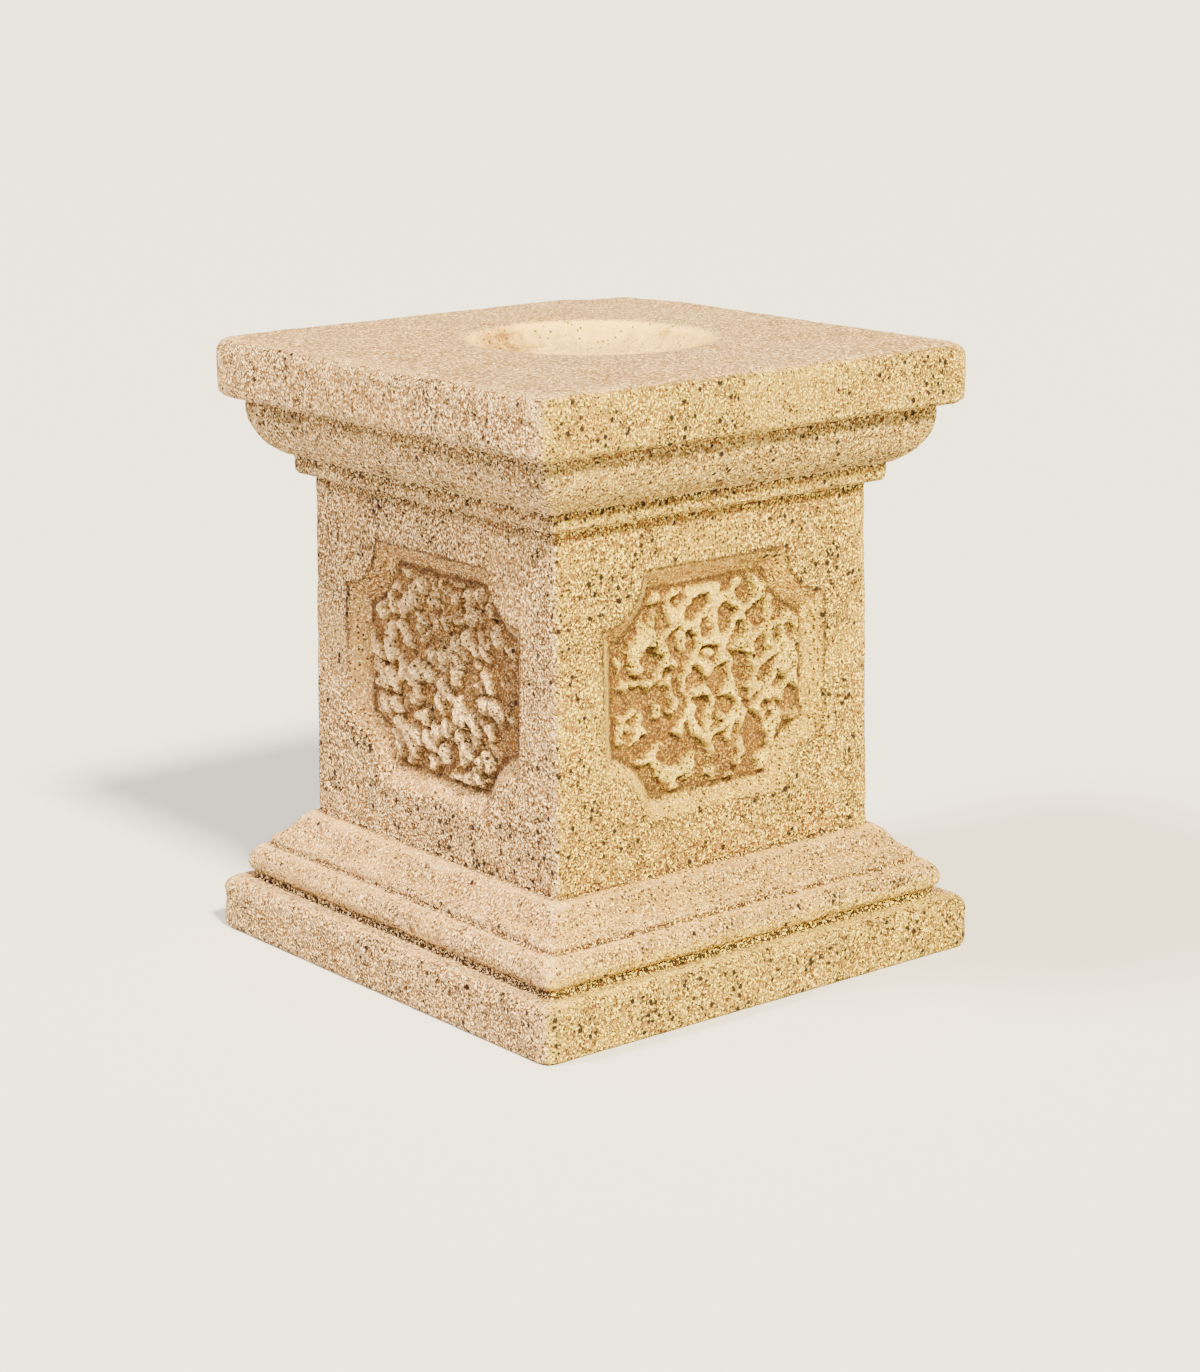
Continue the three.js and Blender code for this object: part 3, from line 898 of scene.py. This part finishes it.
def stone_grain(add, place, on):
    """The patterns of the cast skin, each from 0 to 1 but for the grit, which is from -1 to 1."""
    # The place is bent, so that nothing is quite round, and then drawn out a little upright
    wobble = add(NOISE, {"Vector": place, "Scale": 1 / (WOBBLE * MM)}, "Color")
    bent_place = add("ShaderNodeVectorMath", [wobble, (BEND * MM,) * 3, place], operation="MULTIPLY_ADD")
    drawn = add("ShaderNodeMapping", {"Vector": bent_place, "Scale": (1, 1, UPRIGHT)})
    patch = add(NOISE, {"Vector": place, "Scale": 1 / (PATCH * MM)})
    mottle = add(NOISE, {"Vector": place, "Scale": 1 / (MOTTLE * MM)})
    top_rough = add(MATH, [on["level"], 0.65], operation="MULTIPLY")
    side_rough = add(RANGE, [on["coarse"], 0.1, 0.85, 0.25, 1.0])
    rough = add(MATH, [side_rough, top_rough], operation="MAXIMUM")
    rough = add(MATH, [rough, add(RANGE, [on["basin"], 0.0, 1.0, 1.0, 0.25])], operation="MULTIPLY")

    # Pits lie thickest in patches, holes are for the rough sides and scars for the top
    pit_share = add(MATH, [rough, add(RANGE, [patch, 0.4, 0.6, 0.45, 1.05])], operation="MULTIPLY")
    pit, pit_halo = pit_pattern(add, drawn, PIT_SPACING, PIT_RADIUS, 0.15, pit_share)
    hole_patch = add(RANGE, [patch, 0.46, 0.6, 0.05, 0.9])
    hole_share = add(MATH, [hole_patch, add(RANGE, [on["coarse"], 0.45, 1.2])], operation="MULTIPLY")
    hole, hole_halo = pit_pattern(add, drawn, HOLE_SPACING, HOLE_RADIUS, 0.3, hole_share)
    scar_share = add(MATH, [on["level"], add(RANGE, [patch, 0.38, 0.62, 0.25, 0.8])], operation="MULTIPLY")
    in_basin = add(RANGE, [on["basin"], 0.0, 1.0, 1.0, 0.1])
    scar_share = add(MATH, [scar_share, in_basin], operation="MULTIPLY")
    scar = pit_pattern(add, bent_place, SCAR_SPACING, SCAR_RADIUS, 0.5, scar_share)[0]

    side_grit = add(NOISE, {"Vector": drawn, "Scale": 1 / (GRIT * MM)})
    top_grit = add(NOISE, {"Vector": place, "Scale": 1 / (TOP_GRIT * MM)})
    side_grit = add(RANGE, [side_grit, 0.45, 0.55, -1.0, 1.0])
    top_grit = add(RANGE, [top_grit, 0.42, 0.58, -1.0, 1.0])
    grit = add(MIX, {0: on["level"], 2: side_grit, 3: top_grit})

    # Creases run between the crumbs, and are wider where the mottle is strong
    crumb_edge = add(CELLS, {"Vector": drawn, "Scale": 1 / (CRUMB * MM)}, feature="DISTANCE_TO_EDGE")
    reach = add(RANGE, [mottle, 0.38, 0.62, 0.05, 0.24])
    crease = add(RANGE, [add(MATH, [reach, crumb_edge], operation="SUBTRACT"), -0.02, 0.04])
    crease = add(MATH, [crease, rough], operation="MULTIPLY")
    crease = add(MATH, [crease, add(RANGE, [on["lit_side_tint"], 0.0, 1.0, 0.55, 1.0])], operation="MULTIPLY")

    smoother = add(RANGE, [on["hollow"], 0.0, 1.0, 1.0, 0.4])
    low = add(MATH, [add(RANGE, [grit, -0.1, -0.85]), rough], operation="MULTIPLY")
    low = add(MATH, [low, smoother], operation="MULTIPLY")
    high = add(MATH, [add(RANGE, [grit, 0.1, 0.85]), rough], operation="MULTIPLY")
    return {
        "drawn": drawn, "rough": rough, "mottle": mottle,
        "pit": pit, "pit_halo": pit_halo, "hole": hole, "hole_halo": hole_halo, "scar": scar,
        "grit": grit, "low": low, "high": high, "crease": crease,
    }


def ground_colour(add, place, on):
    """The bare stone: pinkish cream on the shaded side and yellow on the lit side, each tint painted for
    the light that falls there.
    """
    cloud = add(NOISE, {"Vector": place, "Scale": 1 / (CLOUD * MM), "Detail": 3.0})
    colour = paint_over(add, add(RANGE, [cloud, 0.38, 0.62]), *SHADE_GROUND)
    colour = paint_over(add, on["lit_side_tint"], colour, LIGHT_GROUND)
    smooth = paint_over(add, on["level"], SMOOTH_GROUND, TOP_GROUND)
    colour = paint_over(add, add(RANGE, [on["coarse"], 0.42, 0.22, 0.0, 0.8]), colour, smooth)
    return paint_over(add, on["basin"], colour, BASIN_GROUND)


def wash_over(add, colour, on, grain):
    """Ochre wash in the hollows of the grain and round the pits, thick under the mouldings, and as painted
    shade on the panels' walls that face down.
    """
    dent = add(RANGE, [on["fine"], -SHALLOW, -FULL])
    wash = add(MATH, [grain["low"], GRIT_WASH], operation="MULTIPLY")
    layers = [
        (grain["crease"], CREASE_WASH),
        (grain["hole_halo"], HOLE_WASH),
        (grain["pit_halo"], PIT_WASH),
        (dent, DENT_WASH),
    ]
    for layer, strength in layers:
        layer = add(MATH, [layer, strength], operation="MULTIPLY")
        wash = add(MATH, [wash, layer], operation="MAXIMUM")
    colour = paint_over(add, wash, colour, paint_over(add, on["lit_side_tint"], *WASH))
    in_mottle = add(RANGE, [grain["mottle"], 0.34, 0.58, 0.45, 1.0])
    on_grit = add(RANGE, [grain["grit"], -1.0, 1.0, 0.95, 0.55])
    # Where the stain value is the walls' painted shade, this lays that shade in ochre
    thick = add(MATH, [on["stain"], in_mottle], operation="MULTIPLY")
    thick = add(MATH, [thick, on_grit], operation="MULTIPLY")
    colour = paint_over(add, thick, colour, paint_over(add, on["lit_side_tint"], *STAIN))
    return paint_over(add, add(MATH, [on["stain"], dent], operation="MULTIPLY"), colour, STAINED_PIT)


def shade_lines_and_bed_over(add, colour, place, on, grain):
    """Painted shade in the lines between the mouldings, below the knobs and ridges and along the panels'
    walls, and the brown of the panels' hollows.
    """
    height = add("ShaderNodeSeparateXYZ", [place], "Z")
    seam = 0.0
    for line, thick, strength in SEAMS:
        gap = add(MATH, [add(MATH, [height, line * MM], operation="SUBTRACT")], operation="ABSOLUTE")
        near_line = add(RANGE, [gap, 0.9 * thick * MM, 0.35 * thick * MM, 0.0, strength])
        seam = add(MATH, [seam, near_line], operation="MAXIMUM")
    seam = add(MATH, [seam, add(RANGE, [on["level"], 0.0, 1.0, 1.0, 0.0])], operation="MULTIPLY")
    seam = add(MATH, [seam, add(RANGE, [grain["mottle"], 0.34, 0.52, 0.35, 1.0])], operation="MULTIPLY")
    # Painted shade along the sharp lines between the mouldings
    colour = paint_over(add, seam, colour, SEAM_SHADE)
    bed = paint_over(add, add(RANGE, [grain["mottle"], 0.4, 0.6]), *BED)
    bed = paint_over(add, add(RANGE, [grain["grit"], 0.0, -0.9, 0.0, 0.35]), bed, BED_GRAIN)
    colour = paint_over(add, on["hollow"], colour, bed)
    # Painted shade below the knobs and ridges and along the foot and upper edge of the panels' walls
    foot = add(MATH, [on["under"], on["rim"]], operation="MAXIMUM")
    foot = add(MATH, [foot, add(RANGE, [grain["mottle"], 0.34, 0.56, 0.5, 0.95])], operation="MULTIPLY")
    return paint_over(add, foot, colour, FOOT_SHADE)


def rub_and_highlight_over(add, colour, on, grain):
    """Pale colour on crumb tops, arrises, knobs and ridges, partly bare stone where the wash has worn off
    and partly painted highlight.
    """
    proud = add(MATH, [add(RANGE, [on["fine"], SHALLOW, FULL]), PROUD_RUB_AND_HIGHLIGHT], operation="MULTIPLY")
    crumb_top = add(MATH, [grain["high"], CRUMB_RUB_AND_HIGHLIGHT], operation="MULTIPLY")
    worn_and_highlit = add(MATH, [proud, crumb_top], operation="MAXIMUM")
    worn_and_highlit = add(MATH, [worn_and_highlit, add(RANGE, [on["hollow"], 0.0, 1.0, 1.0, 0.3])], operation="MULTIPLY")
    highlit_crest_and_rubbed = add(MATH, [on["crest"], on["rubbed"]], operation="MAXIMUM")
    worn_and_highlit = add(MATH, [worn_and_highlit, highlit_crest_and_rubbed], operation="MAXIMUM")
    worn_and_highlit = add(MATH, [worn_and_highlit, add(RANGE, [grain["grit"], -0.8, 0.0, 0.35, 1.0])], operation="MULTIPLY")
    worn_and_highlit = add(MATH, [worn_and_highlit, add(RANGE, [on["rim"], 0.25, 0.75, 1.0, 0.2])], operation="MULTIPLY")
    return paint_over(add, worn_and_highlit, colour, paint_over(add, on["lit_side_tint"], *PALE_AND_HIGHLIGHT))


def pits_over(add, colour, on, grain):
    """Brown shade in the pits, weaker on the top, where they are shallow."""
    shade = add(MATH, [grain["pit"], add(RANGE, [on["level"], 0.0, 1.0, 0.95, 0.6])], operation="MULTIPLY")
    shade = add(MATH, [shade, add(RANGE, [on["hollow"], 0.0, 1.0, 1.0, 0.5])], operation="MULTIPLY")
    scar = add(MATH, [grain["scar"], SCAR_SHADE], operation="MULTIPLY")
    shade = add(MATH, [shade, scar], operation="MAXIMUM")
    colour = paint_over(add, shade, colour, paint_over(add, on["lit_side_tint"], *PIT_SHADE))
    return paint_over(add, grain["hole"], colour, paint_over(add, on["lit_side_tint"], *HOLE_SHADE))


def stone_relief(add, grain):
    """The relief that is too fine for the mesh, as a bent normal."""
    swell = add(NOISE, {"Vector": grain["drawn"], "Scale": 1 / (CRUMB * MM), "Detail": 1.0})
    swell = add(MATH, [swell, SWELL], operation="MULTIPLY")
    relief = add(MATH, [grain["grit"], GRIT_RELIEF, swell], operation="MULTIPLY_ADD")
    relief = add(MATH, [relief, grain["rough"]], operation="MULTIPLY")
    relief = add(MATH, [grain["pit"], -PIT_DEPTH, relief], operation="MULTIPLY_ADD")
    relief = add(MATH, [grain["hole"], -HOLE_DEPTH, relief], operation="MULTIPLY_ADD")
    return add("ShaderNodeBump", {"Height": relief, "Distance": MM}, "Normal")


def cast_stone():
    """Semi-dry cast stone: crushed limestone and white cement rammed into a mould, washed over
    with iron ochre. To the eye it is a matt cream ground with a crumbly, pitted skin, brown in
    the pits, ochre round them and in every hollow, and rubbed pale on the arrises. Light is painted
    in too: a yellow lit side, painted shade in creases, pits and under the knobs, and painted
    highlights on what stands proud. The paints are stronger than the stone's own colours, because
    Blender's view pales bright colours."""
    material = bpy.data.materials.new("cast_stone")
    material.use_nodes = True
    tree = material.node_tree
    add = partial(add_node, tree)
    place = add("ShaderNodeTexCoord", output="Object")
    on = {name: add("ShaderNodeAttribute", output="Fac", attribute_name=name) for name in STONE_VALUES}
    grain = stone_grain(add, place, on)
    colour = ground_colour(add, place, on)
    colour = wash_over(add, colour, on, grain)
    colour = shade_lines_and_bed_over(add, colour, place, on, grain)
    colour = rub_and_highlight_over(add, colour, on, grain)
    colour = pits_over(add, colour, on, grain)
    shader = tree.nodes["Principled BSDF"].inputs
    tree.links.new(colour, shader["Base Color"])
    tree.links.new(stone_relief(add, grain), shader["Normal"])
    shader["Roughness"].default_value = ROUGHNESS
    shader["IOR"].default_value = STONE_IOR
    shader["Specular IOR Level"].default_value = SHEEN
    return material


stone = make_stone()
stone.data.materials.append(cast_stone())
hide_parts("pedestal")
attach(stone, "root")

# Camera, fitted to the corners of the block in the picture: angles, metres, and pixels of the picture
AZIMUTH = math.radians(50.99)
PITCH = math.radians(14.08)
ROLL = math.radians(-0.376)
DISTANCE = 2.1237
AIM_HEIGHT = 0.1730
AIM_SIDE = 0.00717
FOCAL = 3210.0
LONG_SIDE = 1372.0
SENSOR = 36.0
FARTHEST = 400.0

# Lights: where each comes from, how broad it is in degrees, and its strength and colour
LIGHTS = [
    ("key", (0.74, -0.17, 0.74), 8, 19.0, "#ffeec4"),
    ("fill", (-0.28, -0.72, 0.8), 14, 7.8, "#fff0e0"),
    ("over", (0.1, -0.1, 1.0), 60, 1.0, "#f6f8ff"),
]
STUDIO_LIGHT = 0.15

# The floor reaches so many metres from the block, in a pale grey paint
FLOOR_REACH = 120
FLOOR_PAINT = "#cecece"
FLOOR_ROUGHNESS = 0.9


def make_camera():
    level = math.cos(PITCH)
    back = Vector((math.sin(AZIMUTH) * level, -math.cos(AZIMUTH) * level, math.sin(PITCH)))
    right = Vector((math.cos(AZIMUTH), math.sin(AZIMUTH), 0))
    up = back.cross(right)
    data = bpy.data.cameras.new("camera")
    data.sensor_width = SENSOR
    data.lens = SENSOR * FOCAL / LONG_SIDE
    data.clip_end = FARTHEST
    camera = bpy.data.objects.new("camera", data)
    bpy.context.scene.collection.objects.link(camera)
    turned = Matrix((right, up, back)).transposed().to_4x4()
    place = Vector((0, 0, AIM_HEIGHT)) + right * AIM_SIDE + back * DISTANCE
    camera.matrix_world = Matrix.Translation(place) @ turned @ Matrix.Rotation(ROLL, 4, "Z")
    bpy.context.scene.camera = camera


def make_light(name, direction, breadth, strength, colour):
    """Broad even light that comes from a direction, as from a large diffuser."""
    data = bpy.data.lights.new(name, "SUN")
    data.angle = math.radians(breadth)
    data.energy = strength
    data.color = srgb(colour)[:3]
    light = bpy.data.objects.new(name, data)
    bpy.context.scene.collection.objects.link(light)
    light.rotation_euler = Vector(direction).to_track_quat("Z", "Y").to_euler()


def make_studio():
    """The weak white light that comes from all round."""
    world = bpy.data.worlds.new("studio")
    bpy.context.scene.world = world
    world.use_nodes = True
    sockets = world.node_tree.nodes["Background"].inputs
    sockets["Color"].default_value = (1, 1, 1, 1)
    sockets["Strength"].default_value = STUDIO_LIGHT


def make_floor():
    shape = bmesh.new()
    bmesh.ops.create_grid(shape, x_segments=1, y_segments=1, size=FLOOR_REACH)
    mesh = bpy.data.meshes.new("floor")
    shape.to_mesh(mesh)
    shape.free()
    floor = bpy.data.objects.new("floor", mesh)
    bpy.context.scene.collection.objects.link(floor)
    paint = bpy.data.materials.new("floor_paint")
    paint.use_nodes = True
    sockets = paint.node_tree.nodes["Principled BSDF"].inputs
    sockets["Base Color"].default_value = srgb(FLOOR_PAINT)
    sockets["Roughness"].default_value = FLOOR_ROUGHNESS
    mesh.materials.append(paint)


make_camera()
for light in LIGHTS:
    make_light(*light)
make_studio()
make_floor()
